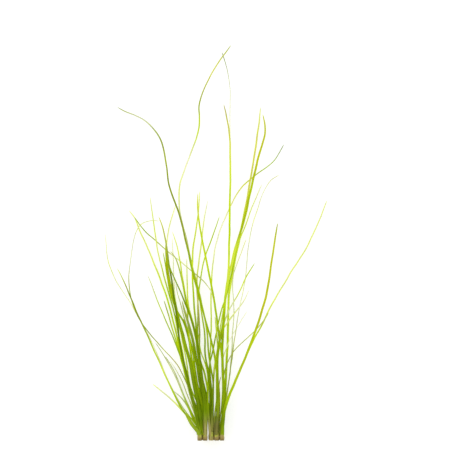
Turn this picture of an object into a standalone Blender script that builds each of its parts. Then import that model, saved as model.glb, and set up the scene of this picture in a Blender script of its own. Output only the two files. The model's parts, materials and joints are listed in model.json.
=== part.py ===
# A bunch of narrow-leaved tape grass, picked with its leaves on and laid down on a surface.
# The cut crowns are at -Y, the leaves run towards +Y and lie on z = 0 or on each other.
# Frame: origin under the middle of the bunch, on the surface it lies on. Routes are in millimetres.

import math

import bmesh
import bpy
import numpy as np
from mathutils import Vector

MM = 0.001
LEAF_THICKNESS = 0.40
TIP_THICKNESS = 0.22
TIP_WIDTH = 0.45
ROOT_FLARE = 0.35
FLARE_LENGTH = 30.0
TAPER_POWER = 7.0
CLEARANCE = 0.32
SIDE_CLEARANCE = 0.85
STATION_STEP = 6.0
SAMPLE_STEP = 1.0
EASE_STATIONS = 2
FLAT_SHARE = 0.55
THICK_SHARE = 0.6
ROOT_FALL = 32.0
ARCH_SKEW = 0.8

# Crowns: short stubs of stem that the leaves grow from, five over three.
CROWN_CUT_Y = -4.0
CROWN_TOP_Y = 0.8
CROWN_SIDES = 12
CROWN_MARGIN = 0.45
CROWN_SQUARENESS = 0.7
CROWN_PROFILE = [(0.0, 0.88), (0.25, 1.0), (0.65, 0.97), (1.0, 0.82)]
HALF_WIDTH = {"upper": 1.45, "lower": 1.95}
ROOT_SPREAD = {"upper": 0.7, "lower": 1.1}
LAYER_GAP = 0.4
CROWNS = {
    "crown_1": {"x": -8.0, "layer": "lower"},
    "crown_2": {"x": -2.75, "layer": "lower"},
    "crown_3": {"x": 1.6, "layer": "lower"},
    "crown_4": {"x": -9.85, "layer": "upper"},
    "crown_5": {"x": -6.6, "layer": "upper"},
    "crown_6": {"x": -2.95, "layer": "upper"},
    "crown_7": {"x": 0.3, "layer": "upper"},
    "crown_8": {"x": 3.5, "layer": "upper"},
}

COLOURS = {
    "green": (0.20, 0.33, 0.025),
    "lime": (0.42, 0.56, 0.07),
    "olive": (0.33, 0.38, 0.035),
    "pale": (0.62, 0.70, 0.27),
    "crown": (0.66, 0.60, 0.33),
}
LEAF_ROUGHNESS = 0.42
CROWN_ROUGHNESS = 0.6

# Each leaf, in the order they lie, lowest first: the crown it grows from, its tone, its width,
# how far it arches clear of the surface, how far it has turned on edge at its tip (degrees),
# and the points (x, y) that its middle line passes, from the crown to the tip.
LEAVES = [
    # leaves of the lower crowns
    ("crown_1", "pale", 0.9, 0.0, 10, [
        (-9.8, 4.6), (-16.8, 9.9), (-24, 17.4), (-33.6, 25.8), (-38.4, 29.4)]),
    ("crown_1", "lime", 0.7, 0.5, 30, [
        (-14.1, 9.6), (-19.2, 19.2), (-25.2, 25.2)]),
    ("crown_3", "lime", 0.9, 0.0, 0, [
        (5.7, 15), (10.2, 28.2), (15.6, 41.4), (21.6, 54), (28.2, 66.6), (36, 81.6), (44.4, 96),
        (52.8, 108.6), (59.4, 122.4), (63.6, 132), (66.6, 139.8)]),
    ("crown_1", "pale", 0.6, 0.0, 30, [
        (-15.3, 9), (-21.3, 17.4), (-27.4, 28.8), (-36, 48.6), (-45, 67.2), (-52.8, 79.8),
        (-60, 91.2), (-65.1, 105), (-66.6, 120)]),
    ("crown_3", "pale", 0.45, 0.0, 20, [
        (3.6, 16.8), (4.4, 34.8), (3.9, 49.8), (4.5, 66), (6, 84), (7.5, 109.8), (8.1, 130.8),
        (8.4, 154.8), (8.3, 175.8), (8.2, 192.6), (8, 210.6), (6.2, 220.2), (3.2, 228.6)]),
    ("crown_1", "lime", 0.6, 1.0, 40, [
        (-13.2, 9.6), (-15.6, 14.4), (-19.8, 24), (-25.2, 37.2), (-30.6, 46.2)]),
    ("crown_2", "lime", 0.75, 0.0, -20, [
        (-4.8, 16.8), (-5.2, 34.8), (-6.5, 40.8), (-7.7, 44.4), (-9.2, 48.9), (-10.2, 55.2),
        (-10.5, 60)]),
    ("crown_2", "pale", 0.75, 0.0, 35, [
        (-3.2, 7.2), (-11.4, 18.6), (-15.4, 27.6), (-17, 37.8), (-19.2, 49.8), (-22.5, 66.6),
        (-24.9, 84.6), (-25.8, 102.6), (-26.4, 117)]),
    ("crown_2", "green", 0.8, 0.0, 35, [
        (-4.2, 15), (-7.2, 28.8), (-10.2, 43.8), (-11.1, 58.8), (-11.1, 73.8), (-9.9, 88.8),
        (-7.5, 102), (-3.6, 114.6), (2.1, 130.2)]),
    ("crown_1", "lime", 0.9, 0.5, -30, [
        (-13.2, 15), (-17.4, 30), (-21.6, 46.8), (-25.5, 60), (-29.4, 73.2), (-31.5, 79.8)]),
    ("crown_3", "lime", 0.6, 0.0, 35, [
        (4.8, 16.8), (7.5, 30.6), (9, 43.8), (9.9, 58.8), (10.5, 76.8), (9.9, 88.8),
        (10.8, 102.6)]),
    ("crown_1", "lime", 1.0, 1.0, 20, [
        (-12, 10.8), (-15.6, 24.6), (-19.2, 37.8), (-21.6, 49.8), (-24.9, 63), (-28.8, 78.6),
        (-33.6, 92.4), (-39, 106.2), (-45.6, 120.6), (-49.2, 129.6), (-52.5, 133.8)]),
    ("crown_2", "lime", 0.9, 1.0, 30, [
        (-4.1, 7.2), (-6.6, 16.8), (-9, 31.8), (-11.1, 48.6), (-13.8, 64.8), (-16.5, 76.8),
        (-17.4, 89.4), (-17.7, 105)]),
    ("crown_3", "lime", 0.7, 1.0, 40, [
        (0.3, 16.8), (0.2, 34.8), (0.8, 48), (1.9, 57), (2.9, 66), (4.8, 76.8), (8.4, 89.4),
        (12.6, 102), (18, 116.4)]),
    ("crown_1", "pale", 0.8, 1.0, -25, [
        (-9, 16.8), (-13.2, 31.2), (-15.9, 43.2), (-18.3, 52.2), (-22.5, 66.6), (-27, 84.6),
        (-29.4, 102.6), (-29.4, 117), (-27, 127.8), (-24.6, 136.8)]),
    ("crown_2", "lime", 0.8, 0.0, 35, [
        (-3, 15), (-2.9, 27), (-3.6, 34.8), (-3.9, 40.8), (-3.5, 49.8), (-3.1, 67.8), (-2.8, 85.8),
        (-1.9, 103.8), (1.5, 118.8), (7.8, 134.4), (15.2, 147.4), (24.8, 155.7), (33.8, 162.3),
        (40.8, 173.4)]),
    ("crown_2", "lime", 0.7, 1.0, 35, [
        (-3.6, 7.2), (-8.4, 16.8), (-12.6, 33), (-15.6, 49.8), (-18.3, 66.6), (-21.3, 77.4),
        (-23.1, 83.4), (-24.3, 90)]),
    ("crown_3", "lime", 1.25, 1.0, 20, [
        (4.8, 16.8), (5.7, 33), (6.6, 49.8), (7.2, 67.8), (7.8, 84.6), (10.5, 99.6), (14.1, 117),
        (16.8, 131.4), (20.1, 150), (23.4, 169.8), (25.8, 186.6), (26.7, 195.6)]),
    ("crown_1", "green", 1.1, 2.0, 25, [
        (-9, 13.8), (-12, 28.8), (-14.4, 43.8), (-16.5, 57), (-19.2, 66), (-23.7, 73.8),
        (-27, 82.8), (-29.7, 95.4), (-31.8, 108.6)]),
    ("crown_2", "lime", 0.8, 2.0, -25, [
        (-3, 16.8), (-4, 34.8), (-3.9, 41.4), (-2.6, 46.8), (-1.3, 52.8), (0.2, 61.2), (3.6, 75),
        (6.9, 85.8), (10.2, 100.8), (13.5, 114), (18.3, 126.6), (24, 141.6), (27.6, 149.4)]),
    # leaves of the upper crowns
    ("crown_4", "lime", 0.7, 1.0, 40, [
        (-13.8, 9.6), (-15.6, 13.2), (-20.4, 24.6), (-26.4, 37.8), (-33, 49.2), (-36.6, 54.6)]),
    ("crown_5", "green", 1.1, 2.0, 15, [
        (-7.8, 16.8), (-11.7, 31.8), (-13.5, 45), (-15.3, 54.6), (-17.7, 63), (-19.8, 69)]),
    ("crown_6", "green", 1.0, 2.0, -20, [
        (-3.6, 16.8), (-3.9, 30), (-4.6, 36.6), (-5.8, 42.6), (-6.6, 48.6), (-6.8, 55.8),
        (-7.6, 64.2), (-8.8, 72.6), (-10, 81)]),
    ("crown_7", "olive", 0.7, 1.0, 45, [
        (2, 13.8), (2, 22.8), (1.6, 28.2), (2.2, 31.5), (2.1, 33.3), (2.9, 34.4)]),
    ("crown_8", "green", 0.55, 1.0, -35, [
        (4.5, 19.8), (4.7, 35.4), (6.9, 42.6), (9.2, 47.1), (14.8, 53.5), (21.5, 60), (26.9, 65.5),
        (31.5, 72)]),
    ("crown_4", "lime", 0.55, 2.0, -30, [
        (-13.2, 12.6), (-17.4, 23.4), (-22.8, 36), (-27.6, 43.2)]),
    ("crown_5", "pale", 0.95, 3.0, 30, [
        (-5.7, 15), (-7.8, 30.6), (-9.8, 46.8), (-10, 61.8), (-11.1, 78.6), (-11.4, 93),
        (-9.3, 109.8), (-7.1, 129), (-5, 139.8)]),
    ("crown_6", "pale", 0.95, 3.0, 30, [
        (-1.9, 16.8), (-1.7, 33), (-1.2, 39), (-0.1, 45), (0.9, 50.4), (1.8, 55.2), (3, 60),
        (6, 64.8), (12, 73.2), (17.4, 81), (19.8, 85.8)]),
    ("crown_7", "pale", 0.9, 3.0, 20, [
        (1.5, 14.4), (1, 25.2), (0.9, 36), (1, 46.8), (0.8, 54), (0, 61.8), (-0.9, 70.2)]),
    ("crown_4", "lime", 0.7, 3.0, 30, [
        (-12.6, 15), (-16.8, 28.8), (-20.4, 42.6), (-24.6, 54.6), (-30.6, 68.4), (-35.6, 80.4),
        (-41.2, 94.8)]),
    ("crown_8", "green", 0.7, 4.0, 15, [
        (4.2, 16.8), (4, 28.8), (3.8, 45), (1.6, 60.6), (-0.3, 72.6), (-3, 84.6), (-7.8, 91.2),
        (-16.8, 99), (-27.2, 107.7), (-36.2, 115.5), (-43.4, 121.5), (-49.2, 129.6)]),
    ("crown_5", "pale", 0.9, 5.0, -25, [
        (-8.1, 15), (-11.4, 28.8), (-14.4, 45), (-16.2, 58.8), (-17.1, 72.6), (-18.9, 85.8),
        (-21.4, 100.2), (-23.4, 112.2), (-26.4, 121.2)]),
    ("crown_4", "lime", 0.85, 5.0, 20, [
        (-10.8, 12.6), (-14.4, 22.8), (-18, 37.8), (-21, 52.8), (-24, 66.6), (-27.8, 81.6),
        (-32.4, 98.4), (-35.6, 114), (-38.4, 132), (-39.6, 141.6)]),
    ("crown_7", "lime", 0.5, 3.0, 30, [
        (3, 14.4), (3.7, 24), (3.8, 34.8), (3.8, 42), (5.4, 49.8), (9, 57.6), (13.2, 64.8),
        (18.6, 73.2)]),
    ("crown_6", "lime", 0.95, 6.0, 20, [
        (-2.3, 15), (-2, 31.8), (-2.9, 37.8), (-3.9, 43.2), (-4.4, 48.6), (-5.4, 60), (-6.3, 66.6),
        (-9.6, 81), (-13.8, 99), (-18.6, 118.8), (-21.9, 135), (-22, 147), (-18.9, 157.8),
        (-13.8, 171.6), (-10.2, 183.6), (-10.2, 196.8), (-5.4, 210.6), (1.8, 222.6), (9, 232.8)]),
    ("crown_8", "green", 0.6, 5.0, 30, [
        (5.7, 16.8), (7.8, 33), (9.9, 48.6), (12, 63.6), (14.4, 78), (17.7, 93), (18.9, 108.6),
        (21.3, 123), (25.2, 136.2), (30, 147.6), (34.2, 153), (37.8, 154.8)]),
    ("crown_4", "green", 0.6, 4.0, 35, [
        (-13.8, 16.8), (-18, 31.2), (-23.4, 41.4), (-33.6, 52.8), (-42.6, 63), (-49.8, 76.8),
        (-52.2, 90), (-51.3, 102.6), (-49.2, 117), (-46.2, 124.2), (-42, 126.9), (-33.6, 127.2)]),
    ("crown_7", "lime", 0.8, 5.0, -15, [
        (-0.9, 5.4), (-0.9, 9.6), (-0.5, 14.4), (0.4, 21), (0.7, 36.6), (1.8, 52.8), (4.5, 64.8),
        (8.3, 75), (13.2, 84), (18, 93.6), (23.1, 102)]),
    ("crown_5", "green", 1.6, 7.0, 20, [
        (-7, 16.8), (-9.9, 31.8), (-12.2, 46.8), (-14.7, 58.8), (-17.4, 68.4), (-19.5, 75.6),
        (-20.7, 79.8)]),
    ("crown_4", "green", 1.8, 7.0, 20, [
        (-9.9, 12.6), (-12.6, 26.4), (-14.6, 36.6), (-16.2, 45), (-18.3, 53.4), (-20.4, 60.6),
        (-23.1, 70.2), (-25.1, 79.8), (-26.8, 85.8), (-28.2, 91.8), (-29.2, 98.4), (-29.8, 106.2),
        (-30.1, 115.2)]),
    ("crown_8", "olive", 1.45, 8.0, 5, [
        (4.4, 16.8), (4.3, 27.6), (3.9, 39), (3.7, 49.8), (4, 58.8), (4.5, 67.8), (6, 85.8),
        (9, 100.8), (12.9, 115.8), (16.8, 128.4), (20.4, 144), (23.7, 159), (27.2, 172.2),
        (28.9, 177), (29.4, 182.4), (27.9, 191.4)]),
    ("crown_6", "green", 1.05, 9.0, 25, [
        (-5, 15), (-5.3, 27.6), (-6.4, 33.6), (-7.6, 38.4), (-9.4, 43.2), (-11, 52.8),
        (-12.4, 68.4), (-13.2, 76.8), (-14.1, 94.8), (-13.9, 109.8), (-11.7, 124.8),
        (-10.2, 136.8), (-9.9, 145.2)]),
    ("crown_5", "lime", 1.0, 9.0, 25, [
        (-6, 13.8), (-7.8, 28.8), (-9.9, 45), (-12.6, 58.8), (-15.6, 71.4), (-18.6, 82.2),
        (-20.9, 93.6), (-22.6, 100.2), (-24.1, 104.4), (-27.4, 109.2)]),
    ("crown_4", "green", 1.1, 10.0, 25, [
        (-12, 12.6), (-16.2, 28.8), (-19.8, 45), (-22.8, 61.8), (-24.9, 79.8), (-27.1, 94.8),
        (-28.2, 102), (-29.5, 111), (-30.6, 117), (-32.3, 124.2), (-34.5, 130.2)]),
    ("crown_7", "lime", 1.25, 10.0, 20, [
        (0.9, 16.8), (0.8, 34.8), (1.2, 51), (3.6, 61.8), (5.1, 79.8), (7.2, 93), (7.7, 109.8),
        (8.1, 130.8), (8.4, 154.8), (8.1, 175.8), (6.6, 189), (4.5, 197.4)]),
    ("crown_8", "lime", 1.2, 12.0, -20, [
        (4.2, 16.8), (4, 34.8), (3.2, 48.6), (1.3, 63), (-0.6, 75), (-3.3, 91.8), (-7.4, 111),
        (-10.1, 126.6), (-11.1, 136.8), (-11.1, 144)]),
    ("crown_5", "green", 1.0, 12.0, 30, [
        (-6.9, 13.8), (-8.4, 31.8), (-9.9, 46.8), (-12.3, 60), (-15.6, 70.2), (-19.5, 80.4),
        (-23.7, 90), (-27.6, 99.6), (-28.8, 105.6)]),
    ("crown_4", "lime", 0.85, 6.0, 20, [
        (-13.4, 4.2), (-15.6, 7.8), (-21.6, 16.8), (-27.6, 28.8), (-33.6, 41.4), (-39.3, 54.6),
        (-45.6, 68.4), (-51.3, 81.6), (-57, 94.8), (-59.4, 99)]),
    ("crown_7", "green", 1.05, 14.0, 25, [
        (1.2, 16.8), (0.9, 28.8), (-0.6, 45), (-3.6, 58.2), (-8.4, 75), (-13.2, 94.2),
        (-17.4, 111), (-21, 127.8), (-24.8, 138.9), (-27.2, 145.5), (-28.7, 151.2), (-29.4, 159),
        (-30.3, 165), (-32.1, 172.8), (-33.6, 176.4), (-36.3, 180.9), (-40.2, 185.1),
        (-43.8, 188.1), (-48, 190.2), (-54, 192.6), (-59.4, 195.6)]),
    ("crown_8", "olive", 1.35, 9.0, 15, [
        (4.6, 12.6), (7.2, 21.6), (12, 32.4), (17.4, 45.6), (23.1, 60.6), (27.8, 75), (31.1, 88.8),
        (33.3, 103.8), (35.4, 117), (36.9, 126)]),
]


def clear_scene():
    for thing in list(bpy.data.objects):
        bpy.data.objects.remove(thing, do_unlink=True)


def smooth_step(t):
    return t * t * (3.0 - 2.0 * t)


def smooth_line(points):
    """Samples about SAMPLE_STEP apart on a smooth curve through the given points."""
    points = np.array(points, float)
    spans = np.linalg.norm(np.diff(points, axis=0), axis=1)[:, None]
    chords = np.diff(points, axis=0) / spans
    middle = (chords[:-1] * spans[1:] + chords[1:] * spans[:-1]) / (spans[:-1] + spans[1:])
    slopes = np.vstack([chords[:1], middle, chords[-1:]])
    line = []
    for i, span in enumerate(spans[:, 0]):
        for u in np.linspace(0.0, 1.0, max(2, round(span / SAMPLE_STEP)), endpoint=False):
            line.append(
                (2 * u**3 - 3 * u**2 + 1) * points[i]
                + (u**3 - 2 * u**2 + u) * span * slopes[i]
                + (3 * u**2 - 2 * u**3) * points[i + 1]
                + (u**3 - u**2) * span * slopes[i + 1]
            )
    line.append(points[-1])
    return np.array(line)


def distance_along(line):
    return np.concatenate([[0.0], np.cumsum(np.linalg.norm(np.diff(line, axis=0), axis=1))])


def resample(line, along):
    """The line's columns read at the given distances along it."""
    own = distance_along(line[:, :2])
    return np.column_stack([np.interp(along, own, column) for column in line.T])


def root_points():
    """Where each leaf starts: just clear of its crown's top, in the order its crown's leaves fan out."""
    roots = {}
    for name, crown in CROWNS.items():
        own = [i for i, leaf in enumerate(LEAVES) if leaf[0] == name]
        own.sort(key=lambda i: (LEAVES[i][5][0][0] - crown["x"]) / LEAVES[i][5][0][1])
        reach = ROOT_SPREAD[crown["layer"]]
        for i, sideways in zip(own, np.linspace(-reach, reach, len(own))):
            roots[i] = (crown["x"] + sideways, CROWN_TOP_Y + CLEARANCE)
    return [roots[i] for i in range(len(LEAVES))]


def crown_base(name, root_heights):
    """The height an upper crown starts at: just over the lower crowns it lies on."""
    here = CROWNS[name]
    if here["layer"] == "lower":
        return 0.0
    tops = [
        max(high for low, high in root_heights[other]) + CROWN_MARGIN
        for other, there in CROWNS.items()
        if there["layer"] == "lower"
        and abs(there["x"] - here["x"]) < HALF_WIDTH["lower"] + HALF_WIDTH["upper"]
    ]
    return max(tops) + LAYER_GAP


def leaf_profile(width, roll, share):
    """Width, thickness and roll at each share of the leaf's length, root to tip."""
    taper = (1.0 - share**TAPER_POWER) ** 0.5
    widths = TIP_WIDTH + (width - TIP_WIDTH) * taper
    turning = smooth_step(np.clip((share - FLAT_SHARE) / (1.0 - FLAT_SHARE), 0.0, 1.0))
    thinning = np.clip((share - THICK_SHARE) / (1.0 - THICK_SHARE), 0.0, 1.0)
    thickness = LEAF_THICKNESS + (TIP_THICKNESS - LEAF_THICKNESS) * thinning
    return widths, thickness, math.radians(roll) * turning


def lay(stations, floor_heights, spreads, heights, laid):
    """Heights of the stations, so that the leaf clears the surface and every leaf laid before."""
    along = distance_along(stations)
    fine = np.linspace(0.0, along[-1], max(2, round(along[-1] / SAMPLE_STEP)) + 1)
    line = resample(np.column_stack([stations, spreads, heights]), fine)
    lowest = line[:, 3].copy()
    if laid:
        others = np.vstack(laid)
        apart = np.hypot(line[:, None, 0] - others[None, :, 0], line[:, None, 1] - others[None, :, 1])
        crossing = apart < line[:, None, 2] + others[None, :, 2] + SIDE_CLEARANCE
        over = np.where(crossing, others[None, :, 3], -1.0).max(axis=1)
        lowest = np.maximum(lowest, over + CLEARANCE + line[:, 3])
    needed = floor_heights.copy()
    for i in range(len(stations)):
        near = np.abs(fine - along[i]) <= along[1] - along[0] + 1e-6
        needed[i] = max(needed[i], lowest[near].max())
    reach = np.minimum(np.arange(len(needed)), EASE_STATIONS)
    crest = np.array([needed[max(i - r, 0):i + r + 1].max() for i, r in enumerate(reach)])
    eased = np.array([
        np.average(crest[i - r:i + r + 1], weights=(r + 1 - abs(np.arange(-r, r + 1)))[:len(crest) - i + r])
        for i, r in enumerate(reach)
    ])
    eased = np.maximum(eased, needed)
    tops = resample(np.column_stack([stations, spreads, eased + heights]), fine)
    laid.append(tops)
    return eased


def lay_bunch():
    """Every leaf's rings of corners, and the height span of each crown, in millimetres."""
    roots = root_points()
    laid = []
    leaf_rings = []
    root_heights = {name: [] for name in CROWNS}
    for (crown, tone, width, lift, roll, route), root in zip(LEAVES, roots):
        line = smooth_line([root] + route)
        length = distance_along(line)[-1]
        along = np.linspace(0.0, length, max(4, round(length / STATION_STEP)) + 1)
        share = along / length
        stations = resample(line, along)
        widths, thickness, rolls = leaf_profile(width, roll, share)
        widths = widths * (1.0 + ROOT_FLARE * np.exp(-along / FLARE_LENGTH))
        sines, cosines = np.abs(np.sin(rolls)), np.cos(rolls)
        heights = 0.5 * (widths * sines + thickness * cosines)
        spreads = 0.5 * (widths * cosines + thickness * sines)
        root_height = crown_base(crown, root_heights) + CROWN_MARGIN
        fall = 1.0 - smooth_step(np.clip(along / ROOT_FALL, 0.0, 1.0))
        target = root_height * fall + lift * np.sin(math.pi * share**ARCH_SKEW) + heights
        middle = lay(stations, target, spreads, heights, laid)
        root_heights[crown].append((middle[0] - heights[0], middle[0] + heights[0]))
        leaf_rings.append(rings_around(np.column_stack([stations, middle]), widths, thickness, rolls))
    spans = {
        name: (crown_base(name, root_heights), max(high for low, high in ends) + CROWN_MARGIN)
        for name, ends in root_heights.items()
    }
    return leaf_rings, spans


def rings_around(centres, widths, thickness, rolls):
    """Four corners of the blade at each station; the first ring faces its crown squarely."""
    rings = []
    for i, centre in enumerate(centres):
        ahead = Vector(centres[min(i + 1, len(centres) - 1)] - centres[max(i - 1, 0)]).normalized()
        if i == 0:
            ahead = Vector((0.0, 1.0, 0.0))
        level = Vector((0.0, 0.0, 1.0)).cross(ahead).normalized()
        upright = ahead.cross(level)
        side = level * math.cos(rolls[i]) + upright * math.sin(rolls[i])
        face = upright * math.cos(rolls[i]) - level * math.sin(rolls[i])
        side *= widths[i] / 2
        face *= thickness[i] / 2
        middle = Vector(centre)
        rings.append([
            middle - side - face, middle + side - face, middle + side + face, middle - side + face,
        ])
    return rings


def crown_rings(x, half_width, low, high):
    """Rings of a rounded stub, from its cut end to the top that the leaves stand on."""
    step = 2 * math.pi / CROWN_SIDES
    outline = []
    for i in range(CROWN_SIDES):
        angle = (i + 0.5) * step
        across, up = math.cos(angle), math.sin(angle)
        outline.append((
            math.copysign(abs(across) ** CROWN_SQUARENESS, across),
            math.copysign(abs(up) ** CROWN_SQUARENESS, up),
        ))
    widest = max(point[0] for point in outline)
    tallest = max(point[1] for point in outline)
    rings = []
    for share, scale in CROWN_PROFILE:
        y = CROWN_CUT_Y + (CROWN_TOP_Y - CROWN_CUT_Y) * share
        rings.append([
            Vector((
                x + half_width * scale * across / widest,
                y,
                (low + high) / 2 + (high - low) / 2 * scale * up / tallest,
            ))
            for across, up in outline
        ])
    return rings


def material_for(name, tone, roughness):
    material = bpy.data.materials.new(name)
    material.use_nodes = True
    shader = material.node_tree.nodes["Principled BSDF"]
    shader.inputs["Base Color"].default_value = (*COLOURS[tone], 1.0)
    shader.inputs["Roughness"].default_value = roughness
    shader.inputs["Metallic"].default_value = 0.0
    return material


def loft(name, rings, shift, tone, roughness, smooth):
    """One closed solid through the rings, capped at both ends."""
    mesh = bmesh.new()
    loops = [[mesh.verts.new((point + shift) * MM) for point in ring] for ring in rings]
    sides = len(loops[0])
    for near, far in zip(loops, loops[1:]):
        for i in range(sides):
            j = (i + 1) % sides
            mesh.faces.new((near[i], near[j], far[j], far[i]))
    mesh.faces.new(reversed(loops[0]))
    mesh.faces.new(loops[-1])
    bmesh.ops.recalc_face_normals(mesh, faces=mesh.faces)
    bmesh.ops.triangulate(mesh, faces=mesh.faces)
    data = bpy.data.meshes.new(name)
    mesh.to_mesh(data)
    mesh.free()
    if smooth:
        data.shade_smooth()
        data.set_sharp_from_angle(angle=math.radians(40))
    data.materials.append(material_for(name, tone, roughness))
    thing = bpy.data.objects.new(name, data)
    bpy.context.scene.collection.objects.link(thing)
    return thing


def build():
    clear_scene()
    leaf_rings, spans = lay_bunch()
    stubs = {}
    for name, (low, high) in spans.items():
        crown = CROWNS[name]
        stubs[name] = crown_rings(crown["x"], HALF_WIDTH[crown["layer"]], low, high)
    all_rings = [ring for rings in [*leaf_rings, *stubs.values()] for ring in rings]
    corners = np.array([point for ring in all_rings for point in ring])
    low, high = corners.min(axis=0), corners.max(axis=0)
    shift = Vector((-(low[0] + high[0]) / 2, -(low[1] + high[1]) / 2, -low[2]))
    for number, (leaf, rings) in enumerate(zip(LEAVES, leaf_rings), 1):
        loft(f"leaf_{number:02d}", rings, shift, leaf[1], LEAF_ROUGHNESS, False)
    for name, rings in stubs.items():
        loft(name, rings, shift, "crown", CROWN_ROUGHNESS, True)


build()
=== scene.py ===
import json
import math

import bmesh
import bpy
import numpy as np
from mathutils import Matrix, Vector


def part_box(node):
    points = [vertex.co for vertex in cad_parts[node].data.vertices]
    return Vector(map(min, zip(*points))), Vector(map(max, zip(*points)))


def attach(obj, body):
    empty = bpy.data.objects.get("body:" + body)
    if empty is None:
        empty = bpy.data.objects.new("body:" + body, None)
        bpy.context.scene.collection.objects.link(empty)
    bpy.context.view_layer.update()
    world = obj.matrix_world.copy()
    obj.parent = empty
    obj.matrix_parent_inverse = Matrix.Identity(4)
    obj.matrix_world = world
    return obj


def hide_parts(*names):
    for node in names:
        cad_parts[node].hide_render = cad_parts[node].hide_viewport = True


millimetre = 0.001

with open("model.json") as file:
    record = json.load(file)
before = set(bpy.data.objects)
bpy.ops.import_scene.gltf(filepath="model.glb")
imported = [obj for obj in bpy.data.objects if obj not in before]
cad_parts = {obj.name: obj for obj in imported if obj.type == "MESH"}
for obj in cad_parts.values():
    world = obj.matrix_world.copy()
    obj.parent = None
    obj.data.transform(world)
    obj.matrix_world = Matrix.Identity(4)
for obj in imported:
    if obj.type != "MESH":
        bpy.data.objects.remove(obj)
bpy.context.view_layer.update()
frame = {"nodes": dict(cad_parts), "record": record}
nodes = frame["nodes"]
slotOf = {row["node"]: row["material_slot"] for row in frame["record"]["subparts"]}
print("frame loaded:", len(nodes), "nodes")


class Wire:
    # an output socket that can stand in a Python expression
    def __init__(self, graph, socket):
        self.graph = graph
        self.socket = socket

    def out(self, name):
        return Wire(self.graph, self.socket.node.outputs[name])

    def __add__(self, other):
        return self.graph.combine("ADD", self, other)

    def __radd__(self, other):
        return self.graph.combine("ADD", other, self)

    def __sub__(self, other):
        return self.graph.combine("SUBTRACT", self, other)

    def __rsub__(self, other):
        return self.graph.combine("SUBTRACT", other, self)

    def __mul__(self, other):
        return self.graph.combine("MULTIPLY", self, other)

    def __rmul__(self, other):
        return self.graph.combine("MULTIPLY", other, self)

    def __truediv__(self, other):
        return self.graph.combine("DIVIDE", self, other)

    def __pow__(self, other):
        return self.graph.combine("POWER", self, other)

    def __abs__(self):
        return self.graph.maths("ABSOLUTE", self)


class Graph:
    # adds nodes to one tree
    def __init__(self, tree):
        self.tree = tree

    def add(self, kind, settings=None, inputs=None, output=0):
        made = self.tree.nodes.new(kind)
        for name, value in (settings or {}).items():
            setattr(made, name, value)
        for key, value in (inputs or {}).items():
            if isinstance(value, Wire):
                self.tree.links.new(value.socket, made.inputs[key])
            else:
                made.inputs[key].default_value = value
        return Wire(self, made.outputs[output]) if made.outputs else None

    def combine(self, operation, first, second):
        isVector = [isinstance(value, Wire) and value.socket.type == "VECTOR" for value in (first, second)]
        if not any(isVector):
            return self.maths(operation, first, second)
        if all(isVector):
            return self.vector(operation, first, second)
        vector, scale = (first, second) if isVector[0] else (second, first)
        return self.add("ShaderNodeVectorMath", {"operation": "SCALE"}, {0: vector, "Scale": scale})

    def maths(self, operation, *values):
        return self.add("ShaderNodeMath", {"operation": operation}, dict(enumerate(values)))

    def vector(self, operation, *values):
        return self.add("ShaderNodeVectorMath", {"operation": operation}, dict(enumerate(values)))

    def join(self, x, y, z):  # a vector from three numbers
        return self.add("ShaderNodeCombineXYZ", None, {"X": x, "Y": y, "Z": z})

    def clamp(self, value, low=0.0, high=1.0):
        return self.add("ShaderNodeClamp", None, {"Value": value, "Min": low, "Max": high})

    def ramp(self, value, low, high):  # 0 below low, 1 above high, smooth between them
        return self.add(
            "ShaderNodeMapRange",
            {"interpolation_type": "SMOOTHSTEP"},
            {"Value": value, "From Min": low, "From Max": high, "To Min": 0.0, "To Max": 1.0},
        )

    def noise(self, place, scale, detail):
        return self.add("ShaderNodeTexNoise", None, {"Vector": place, "Scale": scale, "Detail": detail})

    def blend(self, factor, first, second, how="MIX"):
        settings = {"data_type": "RGBA", "blend_type": how}
        return self.add("ShaderNodeMix", settings, {0: factor, 6: first, 7: second}, 2)

    def tinted(self, tint, shade):  # a colour made darker or lighter by a number
        return self.blend(1.0, tint, self.join(shade, shade, shade), "MULTIPLY")

    def bump(self, strength, distance, height):
        inputs = {"Strength": strength, "Distance": distance, "Height": height}
        return self.add("ShaderNodeBump", None, inputs)

    def colour(self, name):  # a colour attribute, in a material
        return self.add("ShaderNodeAttribute", {"attribute_name": name})

    def number(self, name):  # a number attribute, in a material
        return self.add("ShaderNodeAttribute", {"attribute_name": name}, output=2)

    def read(self, name, kind="FLOAT"):  # an attribute, in a geometry tree
        return self.add("GeometryNodeInputNamedAttribute", {"data_type": kind}, {"Name": name})

    def store(self, geometry, name, value, kind="FLOAT"):
        return self.add(
            "GeometryNodeStoreNamedAttribute",
            {"data_type": kind, "domain": "POINT"},
            {"Geometry": geometry, "Name": name, "Value": value},
        )

    def forget(self, geometry, names):
        for name in names:
            geometry = self.add("GeometryNodeRemoveAttribute", None, {"Geometry": geometry, "Name": name})
        return geometry

    def tube(self, line, sides):  # a tube of faces round a line, with its turn stored from 0 to 1
        circle = {"Resolution": sides, "Radius": millimetre}
        section = self.add("GeometryNodeCurvePrimitiveCircle", None, circle)
        section = self.store(section, "turn", self.add("GeometryNodeSplineParameter"))
        return self.add(
            "GeometryNodeCurveToMesh", None, {"Curve": line, "Profile Curve": section, "Fill Caps": True}
        )


def startTree(name, sizes):
    # a geometry tree with named inputs: its graph, and its input node
    tree = bpy.data.node_groups.new(name, "GeometryNodeTree")
    tree.interface.new_socket("Geometry", in_out="INPUT", socket_type="NodeSocketGeometry")
    for key, kind in sizes.items():
        tree.interface.new_socket(key, in_out="INPUT", socket_type="NodeSocket" + kind)
    tree.interface.new_socket("Geometry", in_out="OUTPUT", socket_type="NodeSocketGeometry")
    g = Graph(tree)
    return g, g.add("NodeGroupInput")


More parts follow.
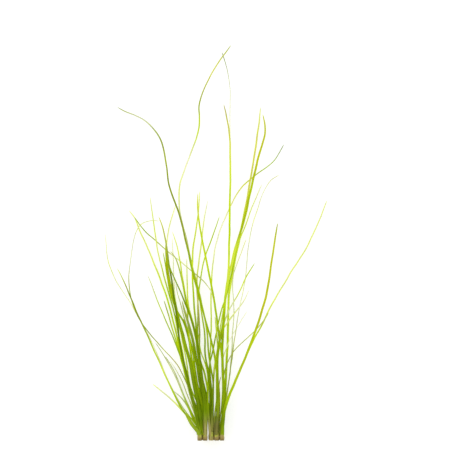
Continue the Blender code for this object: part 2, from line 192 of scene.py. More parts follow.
def endTree(g, skin, material):
    # turns the faces outwards, smooths them, makes them real and gives them their material
    skin = g.add("GeometryNodeFlipFaces", None, {"Mesh": skin})
    skin = g.add("GeometryNodeSetShadeSmooth", None, {"Geometry": skin})
    skin = g.add("GeometryNodeRealizeInstances", None, {"Geometry": skin})
    skin = g.add("GeometryNodeSetMaterial", None, {"Geometry": skin, "Material": material})
    g.add("NodeGroupOutput", None, {"Geometry": skin})
    return g.tree


def startMaterial(name):
    material = bpy.data.materials.new(name)
    material.use_nodes = True
    material.node_tree.nodes.clear()
    return material, Graph(material.node_tree)


def sweep(line, tree, values):
    # runs a tree on a line and leaves the plain mesh it makes
    modifier = line.modifiers.new("sweep", "NODES")
    modifier.node_group = tree
    for item in tree.interface.items_tree:
        if item.in_out == "INPUT" and item.name in values:
            modifier[item.identifier] = values[item.name]
    evaluated = line.evaluated_get(bpy.context.evaluated_depsgraph_get())
    mesh = bpy.data.meshes.new_from_object(evaluated)
    line.modifiers.remove(modifier)
    old = line.data
    line.data = mesh
    bpy.data.meshes.remove(old)


# colours as they look on a screen, 0 to 255
tones = {
    "deep": (104, 132, 0),
    "green": (130, 158, 2),
    "leaf": (154, 182, 4),
    "mid": (176, 203, 4),
    "lime": (201, 224, 16),
    "pale": (220, 237, 72),
    # painted glare: the next two tones are near white, where thin translucent tips look washed out by light
    "faded": (235, 245, 142),
    "clear": (245, 248, 202),
    "reed": (182, 198, 14),
    "olive": (197, 200, 26),
    "drab": (169, 180, 48),
    "straw": (219, 219, 96),
    "husk": (182, 176, 94),
    "tan": (190, 170, 100),
    "umber": (130, 128, 50),
    "brown": (138, 116, 58),
    "moss": (144, 158, 26),
    "slate": (156, 170, 70),
    "grey": (190, 198, 110),
    "mist": (222, 226, 186),
}


def linear(name):
    # a tone in linear light
    levels = [value / 255 for value in tones[name]]
    return tuple(c / 12.92 if c <= 0.04 else ((c + 0.055) / 1.055) ** 2.4 for c in levels)


def spreadTones(names, where):
    # linear colours at places from 0 to 1 along a row of evenly spread tones
    palette = np.array([linear(name) for name in names])
    stops = np.linspace(0.0, 1.0, len(names))
    return np.column_stack([np.interp(where, stops, column) for column in palette.T])


def paint(mesh, colours):
    colours = np.column_stack([colours, np.ones(len(colours))])
    mesh.attributes.new("tint", "FLOAT_COLOR", "POINT").data.foreach_set("color", colours.ravel())


# the leaves
blade = {
    "step": 1.2 * millimetre,
    "sides": 24,
    "rootDepth": 1.6 * millimetre,  # how far a blade reaches down into its crown
    "stillTo": 12 * millimetre,  # a blade is held still up to here,
    "looseFrom": 45 * millimetre,  # and wanders and twists freely from here
    "wobble": 0.22 * millimetre,
    "wobbleGain": 4.0,  # brings the noise to about 1 each way
    "wobblePitch": 55.0,  # noise units a metre
    "twistWaves": (150.0, 64.0),  # radians a metre
    "twistGain": 0.6,  # the two waves can add up, so each counts for less
    "cup": 0.10,  # rise from the midrib to the margins, as a share of the half width
    "cupLevel": 0.35,  # the part of that rise by which the midrib lies lower
    "edgeThickness": 0.5,  # share of the thickness left away from the midrib
    "keelWidth": 0.28,  # of the midrib, to one side, as a share of the half width
    "keelHeight": 0.85,  # the part of the rest of the thickness that the midrib has
    "keelGroove": 0.45,  # depth of the groove over the midrib, as a share of the half thickness
    "ribs": 6.0,  # half waves from the midrib to a margin
    "ribHeight": 0.05,  # as a share of the half thickness
    "marginPitch": 240.0,  # noise units a metre
    "marginDepth": 0.10,  # as a share of the half width
    "tipLeast": 0.004,  # where the rounding of the point stops, as a share of its length
    "tipThickness": 0.25,  # share of the thickness that the point keeps
    "rootFade": 1.6,  # a root tone has faded out at this many times its reach
    "seedStep": 7.31,  # from one leaf's seed to the next
}

# twist in degrees, length of the point in mm, and tones from the root to the tip, evenly spread
# the deep tones near the roots are darker leaf green, partly painted shade of the crowded base
# the two palest tones are painted glare, where thin blades look washed out by light
leafLooks = {
    "leaf_01": (8, 1.5, "pale pale lime faded clear faded"),
    "leaf_02": (10, 1.5, "green leaf mist"),
    "leaf_03": (8, 2, "green mid pale lime lime pale faded faded faded faded faded"),
    "leaf_04": (10, 2, "green mid mist mist clear clear clear faded clear"),
    "leaf_05": (10, 1.5, "green mid pale clear clear clear clear clear clear clear clear mist deep"),
    "leaf_06": (12, 1.5, "green mid mist grey"),
    "leaf_07": (10, 1.5, "green lime pale"),
    "leaf_08": (14, 2, "green mid pale faded clear clear"),
    "leaf_09": (14, 2, "deep green leaf mid lime mid"),
    "leaf_10": (12, 1.5, "green leaf mid lime moss"),
    "leaf_11": (14, 1.5, "green leaf slate mist mist mist"),
    "leaf_12": (8, 2, "green leaf mid lime lime lime lime pale faded faded faded"),
    "leaf_13": (12, 1.5, "green leaf mid leaf lime pale faded"),
    "leaf_14": (14, 1.5, "green lime mid pale mist straw"),
    "leaf_15": (10, 2, "green leaf mid lime pale faded faded"),
    "leaf_16": (12, 2, "green green leaf lime pale pale clear clear straw mid deep"),
    "leaf_17": (14, 1.5, "green leaf slate grey mist"),
    "leaf_18": (10, 1.5, "green leaf mid lime lime pale pale lime straw straw straw faded"),
    "leaf_19": (10, 1.5, "deep leaf leaf mid mid"),
    "leaf_20": (10, 2, "green green leaf mid mid pale clear"),
    "leaf_21": (12, 1.5, "green mid mist slate"),
    "leaf_22": (10, 1.5, "green leaf mid leaf"),
    "leaf_23": (10, 1.5, "green green leaf lime"),
    "leaf_24": (10, 1, "brown olive brown"),
    "leaf_25": (12, 1.5, "green leaf slate grey grey grey"),
    "leaf_26": (12, 1.5, "green grey mist"),
    "leaf_27": (10, 2, "green deep green leaf husk straw faded faded clear"),
    "leaf_28": (10, 1.5, "green green pale faded clear"),
    "leaf_29": (10, 1.5, "green leaf pale"),
    "leaf_30": (10, 1.5, "green leaf mid leaf lime mist"),
    "leaf_31": (12, 1.5, "deep green leaf lime lime leaf grey clear grey clear grey leaf leaf"),
    "leaf_32": (10, 2, "green leaf mid lime pale pale faded"),
    "leaf_33": (10, 1.5, "green leaf green lime lime leaf lime faded pale faded"),
    "leaf_34": (10, 1.5, "green leaf lime clear clear"),
    "leaf_35": (12, 2, "green deep green leaf lime mid grey mist faded clear lime drab straw drab"),
    "leaf_36": (14, 1.5, "green leaf grey moss grey mist clear mist mist faded clear olive"),
    "leaf_37": (12, 1.5, "deep green slate slate husk grey slate slate mid grey mist mist faded mist"),
    "leaf_38": (12, 1.5, "green leaf leaf mid pale mist pale mid"),
    "leaf_39": (8, 1.5, "deep deep green grey"),
    "leaf_40": (8, 1.5, "deep deep green leaf reed reed"),
    "leaf_41": (8, 1.5, "deep deep leaf leaf leaf mid lime pale pale reed reed reed olive olive olive"),
    "leaf_42": (10, 1.5, "green green leaf leaf leaf mid lime pale pale faded"),
    "leaf_43": (8, 1.5, "green green leaf leaf mid grey"),
    "leaf_44": (8, 2, "deep deep deep deep deep slate straw"),
    "leaf_45": (10, 1.5, "green green leaf leaf mid pale lime lime pale straw husk"),
    "leaf_46": (8, 1.5, "green green leaf leaf mid lime lime straw"),
    "leaf_47": (10, 1.5, "green deep deep green leaf"),
    "leaf_48": (8, 1.5, "green green mid pale mid moss moss faded"),
    "leaf_49": (12, 2, "deep green green leaf leaf leaf leaf leaf moss moss moss drab slate mist moss"),
    "leaf_50": (8, 1, "deep deep mid reed reed reed olive olive olive olive drab"),
}

# the tone that the leaves of each crown keep where they leave it, and how far up it reaches, in mm
rootLooks = {
    "crown_1": ("green", 4),
    "crown_2": ("husk", 8),
    "crown_3": ("green", 5),
    "crown_4": ("leaf", 4),
    "crown_5": ("husk", 9),
    "crown_6": ("husk", 10),
    "crown_7": ("umber", 14),
    "crown_8": ("green", 6),
}


def readRibbon(node):
    # centre, half width, half thickness and side direction of a CAD leaf, ring by ring from its root
    corners = 4
    mesh = bmesh.new()
    mesh.from_mesh(node.data)
    bmesh.ops.remove_doubles(mesh, verts=mesh.verts, dist=0.01 * millimetre)
    mesh.verts.index_update()
    ring = sorted(mesh.verts, key=lambda vertex: vertex.co.y)[:corners]
    seen = set(ring)
    ribbon = {"centre": [], "halfWidth": [], "halfThick": [], "side": []}
    lastSide = Vector((1, 0, 0))
    while ring:
        points = [vertex.co.copy() for vertex in ring]
        near = sorted(points[1:], key=lambda point: (point - points[0]).length)
        side = near[1] - points[0]
        if side.dot(lastSide) < 0:
            side.negate()
        lastSide = side.normalized()
        ribbon["centre"].append(sum(points, Vector()) / corners)
        ribbon["halfWidth"].append(side.length / 2)
        ribbon["halfThick"].append((near[0] - points[0]).length / 2)
        ribbon["side"].append(lastSide.copy())
        ahead = {edge.other_vert(vertex) for vertex in ring for edge in vertex.link_edges} - seen
        seen |= ahead
        ring = sorted(ahead, key=lambda vertex: vertex.index)  # in the same order at each run
    mesh.free()
    return ribbon


def makeLine(name, ribbon, tints):
    # a chain of points with the attributes that the blade tree reads, and the tint that it passes on
    mesh = bpy.data.meshes.new(name)
    count = len(ribbon["centre"])
    mesh.from_pydata(ribbon["centre"], [(i, i + 1) for i in range(count - 1)], [])
    for key in ("halfWidth", "halfThick"):
        mesh.attributes.new(key, "FLOAT", "POINT").data.foreach_set("value", ribbon[key])
    sides = [value for side in ribbon["side"] for value in side]
    mesh.attributes.new("side", "FLOAT_VECTOR", "POINT").data.foreach_set("vector", sides)
    paint(mesh, tints)
    line = bpy.data.objects.new(name, mesh)
    bpy.context.scene.collection.objects.link(line)
    return line


def makeBladeTree():
    # sweeps a ribbed, slightly cupped blade along a line that carries its own width, side and tint
    g, given = startTree("grassBlade", {
        "Step": "Float",
        "Sides": "Int",
        "Cup": "Float",
        "Edge Thickness": "Float",
        "Wobble": "Float",
        "Twist": "Float",
        "Tip Length": "Float",
        "Seed": "Float",
        "Skin": "Material",
    })
    seed = given.out("Seed")

    line = g.add("GeometryNodeMeshToCurve", None, {"Mesh": given})
    line = g.add("GeometryNodeCurveSplineType", {"spline_type": "CATMULL_ROM"}, {"Curve": line})
    even = {"Curve": line, "Length": given.out("Step")}
    line = g.add("GeometryNodeResampleCurve", {"mode": "LENGTH"}, even)

    run = g.add("GeometryNodeSplineParameter", output=1)
    whole = g.add("GeometryNodeSplineLength")
    loose = g.ramp(run, blade["stillTo"], blade["looseFrom"])
    driftPlace = {"W": run * blade["wobblePitch"] + seed, "Scale": 1.0, "Detail": 1.0}
    drift = g.add("ShaderNodeTexNoise", {"noise_dimensions": "1D"}, driftPlace)
    sway = (drift - 0.5) * loose * given.out("Wobble") * blade["wobbleGain"]
    moved = {"Geometry": line, "Offset": g.read("side", "FLOAT_VECTOR") * sway}
    line = g.add("GeometryNodeSetPosition", None, moved)
    line = g.store(line, "run", run)
    line = g.store(line, "toTip", whole - run)
    line = g.store(line, "heading", g.add("GeometryNodeInputTangent"), "FLOAT_VECTOR")
    line = g.store(line, "centre", g.add("GeometryNodeInputPosition"), "FLOAT_VECTOR")
    skin = g.tube(line, given.out("Sides"))

    # the section runs from the right margin over the top to the left one, and back underneath
    turn = g.read("turn")
    across = abs(turn * 2.0 - 1.0) * 2.0 - 1.0
    upper = g.maths("SIGN", 0.5 - turn)
    run, toTip = g.read("run"), g.read("toTip")
    heading = g.read("heading", "FLOAT_VECTOR")
    side = g.read("side", "FLOAT_VECTOR")
    facing = g.vector("NORMALIZE", g.vector("CROSS_PRODUCT", side, heading))
    side = g.vector("NORMALIZE", g.vector("CROSS_PRODUCT", heading, facing))

    # two waves of unlike length twist the blade to and fro
    loose = g.ramp(run, blade["stillTo"], blade["looseFrom"])
    longWave, shortWave = blade["twistWaves"]
    swing = g.maths("SINE", run * longWave + seed) + g.maths("SINE", run * shortWave + seed * 2.3)
    angle = swing * loose * given.out("Twist") * blade["twistGain"]
    sine, cosine = g.maths("SINE", angle), g.maths("COSINE", angle)
    turnedSide = side * cosine + facing * sine
    turnedFacing = facing * cosine - side * sine

    # the point rounds off at the tip, and the margins are a little uneven
    point = g.clamp(toTip / given.out("Tip Length"), blade["tipLeast"], 1.0) ** 0.5
    marginPlace = g.join(run * blade["marginPitch"] + seed, across * 2.0, 0.0)
    margin = g.add("ShaderNodeTexNoise", {"noise_dimensions": "2D"}, {"Vector": marginPlace, "Scale": 1.0})
    halfWidth = g.read("halfWidth") * point * (1.0 + (margin - 0.5) * blade["marginDepth"])

    # thick at the midrib, ribbed away from it, grooved on top
    keel = g.maths("EXPONENT", (across / blade["keelWidth"]) ** 2.0 * -1.0)
    ribs = g.maths("COSINE", across * (math.pi * blade["ribs"])) * blade["ribHeight"]
    edge = given.out("Edge Thickness")
    body = (1.0 - across ** 4.0) ** 0.5 * (edge + (1.0 - edge) * keel * blade["keelHeight"] + ribs)
    tipShare = blade["tipThickness"]
    halfThick = g.read("halfThick") * (point * (1.0 - tipShare) + tipShare)
    lift = (across ** 2.0 - blade["cupLevel"]) * halfWidth * given.out("Cup")
    groove = keel * g.maths("MAXIMUM", upper, 0.0) * halfThick * blade["keelGroove"]
    height = upper * body * halfThick + lift - groove
    place = g.read("centre", "FLOAT_VECTOR") + turnedSide * (across * halfWidth) + turnedFacing * height
    skin = g.add("GeometryNodeSetPosition", None, {"Geometry": skin, "Position": place})
    skin = g.store(skin, "across", across)
    skin = g.store(skin, "upper", upper)
    skin = g.forget(skin, ("turn", "heading", "centre", "side", "halfWidth", "halfThick"))
    return endTree(g, skin, given.out("Skin"))


def nearestCrown(point):
    # the crown that a leaf stands on, from where the leaf starts
    gaps = {}
    for name in rootLooks:
        low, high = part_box(name)
        outside = [max(low[i] - point[i], point[i] - high[i], 0.0) for i in range(3)]
        gaps[name] = sum(gap * gap for gap in outside)
    return min(gaps, key=gaps.get)


def stainRoot(tints, ribbon):
    # blends the first tints of a leaf into its crown's root tone
    name, reach = rootLooks[nearestCrown(ribbon["centre"][1])]
    tone = np.array(linear(name))
    away = np.array([(point - ribbon["centre"][0]).length for point in ribbon["centre"]]) / millimetre
    share = np.clip(away / (reach * blade["rootFade"]), 0.0, 1.0)
    keep = share * share * (3.0 - 2.0 * share)
    return tints * keep[:, None] + tone * (1.0 - keep[:, None])


# leaf surface: noise scales are noise units a metre, depths are shares of the tone
leafPattern = {
    "level": 0.99,
    "darkest": 0.62,
    "lightest": 1.3,
    "ribDepth": 0.05,
    "streakPitch": (1.6, 90.0, 3.0),  # across, along, and from one face to the other
    "streakScale": 60.0,
    "streakDepth": 0.36,
    "patchScale": 95.0,
    "patchDepth": 0.5,
    "cellScale": 2400.0,
    "cellDepth": 0.10,
    "midrib": (0.04, 0.22),  # where its colour starts to fade and where it ends, as shares of the half width
    "midribShare": 0.16,
    "midribColour": (0.62, 0.70, 0.03, 1.0),
    "underShare": 0.18,  # the underside is paler
    "underColour": (0.70, 0.76, 0.36, 1.0),
    "streakGloss": 0.22,  # how much the streaks and the cells change the roughness
    "cellGloss": 0.1,
    "bump": 0.35,
    "bumpHeight": 0.08 * millimetre,
    "ribBump": 0.6,  # beside 1 for the streaks
    "cellBump": 0.5,
}

leafSkins = {
    "leaf_green": {"roughness": 0.48, "coat": 0.03},
    "leaf_lime": {"roughness": 0.46, "coat": 0.03},
    "leaf_olive": {"roughness": 0.50, "coat": 0.03},
    "leaf_pale": {"roughness": 0.50, "coat": 0.02},
}


def leafSkin(name, look):
    # veins run the whole length; the midrib is paler, and streaks between the veins are darker
    material, g = startMaterial(name)
    tint = g.colour("tint")
    across = g.number("across")
    run = g.number("run")
    upper = g.number("upper")
    place = g.add("ShaderNodeTexCoord", output=3)

    rib = g.maths("COSINE", across * (math.pi * blade["ribs"])) * 0.5 + 0.5
    midrib = 1.0 - g.ramp(abs(across), *leafPattern["midrib"])
    sideways, lengthways, through = leafPattern["streakPitch"]
    along = g.join(across * sideways, run * lengthways, upper * through)
    streaks = g.noise(along + place * leafPattern["streakScale"], 1.0, 3.0)
    patches = g.noise(place, leafPattern["patchScale"], 2.0)
    cells = g.noise(place, leafPattern["cellScale"], 2.0)

    shade = leafPattern["level"] + rib * leafPattern["ribDepth"]
    shade = shade + (streaks - 0.5) * leafPattern["streakDepth"]
    shade = shade + (patches - 0.5) * leafPattern["patchDepth"]
    shade = shade + (cells - 0.5) * leafPattern["cellDepth"]
    shade = g.clamp(shade, leafPattern["darkest"], leafPattern["lightest"])
    colour = g.tinted(tint, shade)
    colour = g.blend(midrib * leafPattern["midribShare"], colour, leafPattern["midribColour"])
    under = g.maths("LESS_THAN", upper, 0.0)
    colour = g.blend(under * leafPattern["underShare"], colour, leafPattern["underColour"])

    roughness = look["roughness"] + (streaks - 0.5) * leafPattern["streakGloss"]
    roughness = roughness + (cells - 0.5) * leafPattern["cellGloss"]
    relief = rib * leafPattern["ribBump"] + cells * leafPattern["cellBump"] + streaks
    shader = g.add("ShaderNodeBsdfPrincipled", None, {
        "Base Color": colour,
        "Roughness": g.clamp(roughness, 0.2, 0.8),
        "Normal": g.bump(leafPattern["bump"], leafPattern["bumpHeight"], relief),
        "Coat Weight": look["coat"],
        "Coat Roughness": 0.3,
        "Subsurface Weight": 0.2,
        "Subsurface Radius": (0.8, 1.0, 0.12),
        "Subsurface Scale": 0.6 * millimetre,
        "Specular IOR Level": 0.03,
    })
    g.add("ShaderNodeOutputMaterial", None, {"Surface": shader})
    return material


def makeLeaf(number, name):
    # a blade along a leaf's own line, carried on down into its crown
    twist, tip, names = leafLooks[name]
    ribbon = readRibbon(nodes[name])
    start = ribbon["centre"][0]
    ribbon["centre"].insert(0, start - Vector((0, blade["rootDepth"], 0)))
    for key in ("halfWidth", "halfThick", "side"):
        ribbon[key].insert(0, ribbon[key][0])
    where = np.linspace(0.0, 1.0, len(ribbon["centre"]))
    tints = stainRoot(spreadTones(names.split(), where), ribbon)
    piece = makeLine("blade_" + name[-2:], ribbon, tints)
    sweep(piece, bladeTree, {
        "Step": blade["step"],
        "Sides": blade["sides"],
        "Cup": blade["cup"],
        "Edge Thickness": blade["edgeThickness"],
        "Wobble": blade["wobble"],
        "Twist": math.radians(twist),
        "Tip Length": tip * millimetre,
        "Seed": blade["seedStep"] * (number + 1),
        "Skin": skins[slotOf[name]],
    })
    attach(piece, "root")
    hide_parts(name)
    return ribbon


bladeTree = makeBladeTree()
skins = {slot: leafSkin(slot, look) for slot, look in leafSkins.items()}
ribbons = {name: makeLeaf(number, name) for number, name in enumerate(leafLooks)}
print("leaves made:", len(ribbons))


# the crowns
crown = {
    "rings": 60,
    "sides": 72,
    "squareness": 0.74,  # the power that turns a circle into a rounded box
    "foot": 0.90,  # radius just above the cut, as a share of the stub's half size,
    "bulge": 0.08,  # what it gains further up,
    "taper": 0.06,  # and what it has lost at the top
    "ribs": 13.0,
    "ribDepth": 0.035,
    "grainScale": 2.2,
    "ribGrain": 5.0,  # radians by which the grain moves the ribs
    "recess": 0.45 * millimetre,  # how far the cut has dried in
    "recessGrain": 0.5,
    "cutRings": 27.0,  # radians from the middle of the cut to its rim
    "cutRingDepth": 0.07,
    "cutRingGrain": 3.0,
    "lip": 0.09,  # step where the outer sheath ends, as a share of the radius
    "lipPlace": 0.58,  # where it ends, as a share of the side,
    "lipWave": 0.14,  # give or take a wave
    "lipGrain": 0.5,  # and the grain
    "lipSlope": 0.02,  # half the length of the step, as a share of the side
    "innerSlope": 0.03,  # and of the change of colour there
    "cutRim": (0.94, 1.02),  # where the colour of the cut ends, as a share of the cap
    "capShare": 0.30,  # share of the rings spent on the cut end
    "crestShare": 0.14,  # and on the top, which the leaves hide
    "crestRise": 0.08,  # height of the top, as a share of the stub's length
    "stripes": 6.0,  # pairs of pale and dark stripes round the side
    "seedStep": 3.7,
}

sheath = {
    "stations": 1.0,  # mm from one point of its line to the next
    "step": 0.4 * millimetre,
    "thickness": 0.14 * millimetre,
    "rise": 0.16 * millimetre,  # gap between a sheath and the leaf it hugs
    "cup": -0.5,
    "edgeThickness": 0.8,
    "point": 0.55,  # length of its point, as a share of its length
    "seedStep": 5.1,
}

# each crown's tones from the cut up, and its sheaths, dry ones and green leaf bases: the leaf that
# each one hugs, its length in mm, its width against the leaf's, and its tones
crownLooks = {
    "crown_1": ("brown tan husk", [
        ("leaf_19", 6, 1.2, "tan husk green"),
        ("leaf_02", 14, 2.2, "leaf leaf leaf mid"),
    ]),
    "crown_2": ("brown tan husk", [("leaf_20", 7, 1.2, "tan husk green")]),
    "crown_3": ("brown husk husk", [("leaf_18", 6, 1.2, "husk leaf")]),
    "crown_4": ("brown tan husk", [
        ("leaf_44", 4, 1.1, "green leaf"),
        ("leaf_48", 13, 2.0, "leaf leaf mid mid"),
    ]),
    "crown_5": ("brown tan husk", [("leaf_47", 9, 1.15, "husk husk moss")]),
    "crown_6": ("tan husk husk", [("leaf_42", 10, 1.15, "tan husk husk moss")]),
    "crown_7": ("brown tan umber", [
        ("leaf_49", 11, 1.15, "umber umber umber deep"),
        ("leaf_38", 14, 1.7, "umber umber moss leaf"),
        ("leaf_45", 15, 1.5, "umber umber deep green"),
    ]),
    "crown_8": ("brown tan husk", [("leaf_46", 5, 1.1, "moss green")]),
}


def makeStubTree():
    # a closed stub on a line from its cut end to its top: a dished, ringed cut, then a ribbed side
    g, given = startTree("cutStub", {
        "Rings": "Int",
        "Sides": "Int",
        "Squareness": "Float",
        "Ribs": "Float",
        "Rib Depth": "Float",
        "Recess": "Float",
        "Lip": "Float",
        "Cap Share": "Float",
        "Crest Share": "Float",
        "Half Width": "Float",
        "Half Height": "Float",
        "Length": "Float",
        "Cut Centre": "Vector",
        "Seed": "Float",
        "Skin": "Material",
    })
    seed = given.out("Seed")

    axis = g.add("GeometryNodeCurvePrimitiveLine", None, {"Start": (0, 0, 0), "End": (0, 1, 0)})
    even = {"Curve": axis, "Count": given.out("Rings")}
    axis = g.add("GeometryNodeResampleCurve", {"mode": "COUNT"}, even)
    axis = g.store(axis, "walk", g.add("GeometryNodeSplineParameter"))
    skin = g.tube(axis, given.out("Sides"))

    # the rings walk over the cut, then up the side, then over the top
    walk, angle = g.read("walk"), g.read("turn") * (2.0 * math.pi)
    capShare, crestShare = given.out("Cap Share"), given.out("Crest Share")
    cap = g.clamp(walk / capShare, 0.01, 1.0)
    wall = g.clamp((walk - capShare) / (1.0 - capShare - crestShare))
    crest = g.clamp((walk - 1.0 + crestShare) / crestShare, 0.0, 0.99)

    # ribs round the side, and the torn end of the outer sheath
    around = g.join(g.maths("COSINE", angle), g.maths("SINE", angle), seed)
    grain = g.noise(around * crown["grainScale"], 1.0, 3.0) - 0.5
    ribTurn = angle * given.out("Ribs") + grain * crown["ribGrain"]
    ribs = g.maths("COSINE", ribTurn) * given.out("Rib Depth")
    edge = crown["lipPlace"] + g.maths("SINE", angle * 2.0 + seed) * crown["lipWave"]
    edge = edge + grain * crown["lipGrain"]
    lip = g.ramp(wall - edge, -crown["lipSlope"], crown["lipSlope"]) * given.out("Lip")

    # the side swells a little below its middle and draws in at the top
    swell = g.maths("SINE", g.maths("POWER", wall, 0.7) * math.pi)
    bulge = crown["foot"] + swell * crown["bulge"] - wall ** 3.0 * crown["taper"]
    radius = cap ** 0.8 * (bulge + ribs * (wall + 0.25) - lip) * (1.0 - crest ** 2.0) ** 0.5

    # the cut is dished, with rings
    ringTurn = cap * crown["cutRings"] + grain * crown["cutRingGrain"]
    rings = g.maths("COSINE", ringTurn) * crown["cutRingDepth"]
    dish = (1.0 - cap ** 4.0) * (1.0 + rings + grain * crown["recessGrain"]) * given.out("Recess")
    along = dish + (wall + crest * crown["crestRise"]) * given.out("Length")

    def rounded(value):
        return g.maths("SIGN", value) * abs(value) ** given.out("Squareness")

    place = given.out("Cut Centre") + g.join(
        rounded(g.maths("COSINE", angle)) * radius * given.out("Half Width"),
        along,
        rounded(g.maths("SINE", angle)) * radius * given.out("Half Height"),
    )
    skin = g.add("GeometryNodeSetPosition", None, {"Geometry": skin, "Position": place})
    skin = g.store(skin, "run", wall)
    skin = g.store(skin, "across", g.maths("PINGPONG", angle / math.pi * crown["stripes"], 1.0))
    skin = g.store(skin, "cut", 1.0 - g.ramp(walk / capShare, *crown["cutRim"]))
    skin = g.store(skin, "inner", g.ramp(wall - edge, -crown["innerSlope"], crown["innerSlope"]))
    skin = g.forget(skin, ("walk", "turn"))
    return endTree(g, skin, given.out("Skin"))


# crown surface: noise scales are noise units a metre, depths are shares of the tone
crownPattern = {
    "level": 0.82,
    "darkest": 0.45,
    "lightest": 1.2,
    "fibreScale": (2600.0, 260.0, 2600.0),
    "fibreDepth": 0.7,
    "stripeDepth": 0.05,
    "speckScale": 1500.0,
    "specks": (0.60, 0.72),  # noise level where a speck starts, and where it is full
    "speckShare": 0.55,
    "innerShare": 0.35,  # how green the inner sheath is
    "poreScale": 2600.0,
    "pores": (0.10, 0.34),  # from a pore's brown middle to its pale wall, in cell widths
    "cutShare": 0.8,
    "roughness": 0.62,
    "fibreGloss": 0.2,
    "bump": 0.6,
    "bumpHeight": 0.12 * millimetre,
    "speckBump": 0.4,  # beside 1 for the fibres and for the pores
}


def crownSkin(name):
    # fibrous sheath, browner in specks, greener above its torn end, with open pores on the cut
    material, g = startMaterial(name)
    brown, lime, straw = ((*linear(tone), 1.0) for tone in ("brown", "lime", "straw"))
    tint = g.colour("tint")
    across = g.number("across")
    cut = g.number("cut")
    inner = g.number("inner")
    place = g.add("ShaderNodeTexCoord", output=3)
    fibres = g.noise(g.vector("MULTIPLY", place, crownPattern["fibreScale"]), 1.0, 3.0)
    specks = g.noise(place, crownPattern["speckScale"], 3.0)
    porePlace = {"Vector": place, "Scale": crownPattern["poreScale"]}
    pores = g.add("ShaderNodeTexVoronoi", {"feature": "F1"}, porePlace)

    shade = crownPattern["level"] + (fibres - 0.5) * crownPattern["fibreDepth"]
    shade = shade + g.maths("COSINE", across * math.pi) * crownPattern["stripeDepth"]
    shade = g.clamp(shade, crownPattern["darkest"], crownPattern["lightest"])
    colour = g.tinted(tint, shade)
    speckled = g.ramp(specks, *crownPattern["specks"]) * crownPattern["speckShare"]
    colour = g.blend(speckled, colour, brown)
    colour = g.blend(inner * crownPattern["innerShare"], colour, lime)
    flesh = g.blend(g.ramp(pores, *crownPattern["pores"]), brown, straw)
    colour = g.blend(cut * crownPattern["cutShare"], colour, flesh)

    roughness = crownPattern["roughness"] + (fibres - 0.5) * crownPattern["fibreGloss"]
    relief = fibres + specks * crownPattern["speckBump"] + pores * cut
    shader = g.add("ShaderNodeBsdfPrincipled", None, {
        "Base Color": colour,
        "Roughness": g.clamp(roughness, 0.4, 0.85),
        "Normal": g.bump(crownPattern["bump"], crownPattern["bumpHeight"], relief),
        "Subsurface Weight": 0.15,
        "Subsurface Radius": (1.0, 0.8, 0.4),
        "Subsurface Scale": 0.5 * millimetre,
        "Specular IOR Level": 0.3,
    })
    g.add("ShaderNodeOutputMaterial", None, {"Surface": shader})
    return material


def makeStub(number, name, names):
    # a crown's own stub, in its node's box
    low, high = (Vector(corner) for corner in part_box(name))
    size = high - low
    stub = bpy.data.objects.new("stub_" + name[-1], bpy.data.meshes.new("stub"))
    bpy.context.scene.collection.objects.link(stub)
    sweep(stub, stubTree, {
        "Rings": crown["rings"],
        "Sides": crown["sides"],
        "Squareness": crown["squareness"],
        "Ribs": crown["ribs"],
        "Rib Depth": crown["ribDepth"],
        "Recess": crown["recess"],
        "Lip": crown["lip"],
        "Cap Share": crown["capShare"],
        "Crest Share": crown["crestShare"],
        "Half Width": size.x / 2,
        "Half Height": size.z / 2,
        "Length": size.y,
        "Cut Centre": ((low.x + high.x) / 2, low.y, (low.z + high.z) / 2),
        "Seed": crown["seedStep"] * (number + 1),
        "Skin": crownMatter,
    })
    run = np.empty(len(stub.data.vertices))
    stub.data.attributes["run"].data.foreach_get("value", run)
    paint(stub.data, spreadTones(names, run))
    return stub


def makeSheath(number, leaf, length, wider, names):
    # a scale that lies on a leaf's base: the leaf's own line, lifted clear and cut short
    ribbon = ribbons[leaf]
    rise = ribbon["halfThick"][0] + sheath["rise"]
    count = max(3, round(length / sheath["stations"]) + 1)
    walk = np.linspace(0.0, length, count) * millimetre - blade["rootDepth"]
    centres = np.array(ribbon["centre"])
    own = centres[:, 1] - centres[1, 1]
    points = [np.interp(walk, own, centres[:, axis]) for axis in range(3)]
    short = {
        "centre": [Vector((x, y, z + rise)) for x, y, z in zip(*points)],
        "halfWidth": list(np.interp(walk, own, ribbon["halfWidth"]) * wider),
        "halfThick": [sheath["thickness"] / 2] * count,
        "side": [ribbon["side"][0]] * count,
    }
    scale = makeLine("sheath", short, spreadTones(names, np.linspace(0.0, 1.0, count)))
    sweep(scale, bladeTree, {
        "Step": sheath["step"],
        "Sides": blade["sides"],
        "Cup": sheath["cup"],
        "Edge Thickness": sheath["edgeThickness"],
        "Wobble": 0.0,
        "Twist": 0.0,
        "Tip Length": length * sheath["point"] * millimetre,
        "Seed": sheath["seedStep"] * (number + 1),
        "Skin": crownMatter,
    })
    return scale


def joinParts(parts):
    with bpy.context.temp_override(
        active_object=parts[0], object=parts[0], selected_objects=parts, selected_editable_objects=parts
    ):
        bpy.ops.object.join()


def makeCrown(number, name):
    names, sheaths = crownLooks[name]
    stub = makeStub(number, name, names.split())
    scales = [
        makeSheath(number, leaf, length, wider, sheathTones.split())
        for leaf, length, wider, sheathTones in sheaths
    ]
    joinParts([stub, *scales])
    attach(stub, "root")
    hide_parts(name)


stubTree = makeStubTree()
crownMatter = crownSkin("crown")
for number, name in enumerate(crownLooks):
    makeCrown(number, name)
print("crowns made:", len(crownLooks))


# floor, light and camera
studio = {
    "sky": 0.86,
    "key": 6.0,
    "keyPlace": (-1.1, 1.0, 1.7),
    "keySize": 1.6,
    "floorSize": 8.0,
    "floorColour": (0.55, 0.55, 0.548, 1.0),
    "floorRoughness": 0.9,
    "floorGlow": 0.60,  # the floor is a lit white table
}

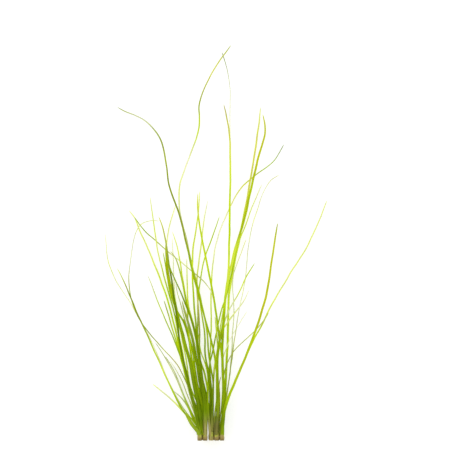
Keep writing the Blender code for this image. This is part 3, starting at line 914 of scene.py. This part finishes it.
view = {
    "middle": (0.0053, 0.01035),  # the point under the lens
    "height": 2.5,
    "span": 0.27,  # width of the square picture on the floor
    "sensor": 36.0,
    "farEnd": 50.0,  # nothing is drawn past this
}


def makeFloor():
    half = studio["floorSize"] / 2
    corners = [(-half, -half, 0), (half, -half, 0), (half, half, 0), (-half, half, 0)]
    mesh = bpy.data.meshes.new("floor")
    mesh.from_pydata(corners, [], [(0, 1, 2, 3)])
    plain = bpy.data.materials.new("floorPlain")
    plain.use_nodes = True
    inputs = plain.node_tree.nodes["Principled BSDF"].inputs
    inputs["Base Color"].default_value = studio["floorColour"]
    inputs["Roughness"].default_value = studio["floorRoughness"]
    inputs["Specular IOR Level"].default_value = 0.1
    inputs["Emission Color"].default_value = (1, 1, 1, 1)
    inputs["Emission Strength"].default_value = studio["floorGlow"]
    mesh.materials.append(plain)
    floor = bpy.data.objects.new("floor", mesh)
    bpy.context.scene.collection.objects.link(floor)


def makeLight():
    world = bpy.data.worlds.new("studio")
    world.use_nodes = True
    background = world.node_tree.nodes["Background"]
    background.inputs["Color"].default_value = (1, 1, 1, 1)
    background.inputs["Strength"].default_value = studio["sky"]
    bpy.context.scene.world = world
    bpy.context.scene.view_settings.view_transform = "Standard"

    lamp = bpy.data.lights.new("softKey", "AREA")
    lamp.energy = studio["key"]
    lamp.size = studio["keySize"]
    key = bpy.data.objects.new("softKey", lamp)
    key.location = studio["keyPlace"]
    key.rotation_euler = (-Vector(studio["keyPlace"])).to_track_quat("-Z", "Y").to_euler()
    bpy.context.scene.collection.objects.link(key)


def makeCamera():
    # looks straight down, as the photo looks at the upright bunch
    lens = bpy.data.cameras.new("camera")
    lens.sensor_width = view["sensor"]
    lens.lens = view["sensor"] * view["height"] / view["span"]
    lens.clip_end = view["farEnd"]
    camera = bpy.data.objects.new("camera", lens)
    camera.location = (*view["middle"], view["height"])
    bpy.context.scene.collection.objects.link(camera)
    bpy.context.scene.camera = camera


makeFloor()
makeLight()
makeCamera()
print("studio made")
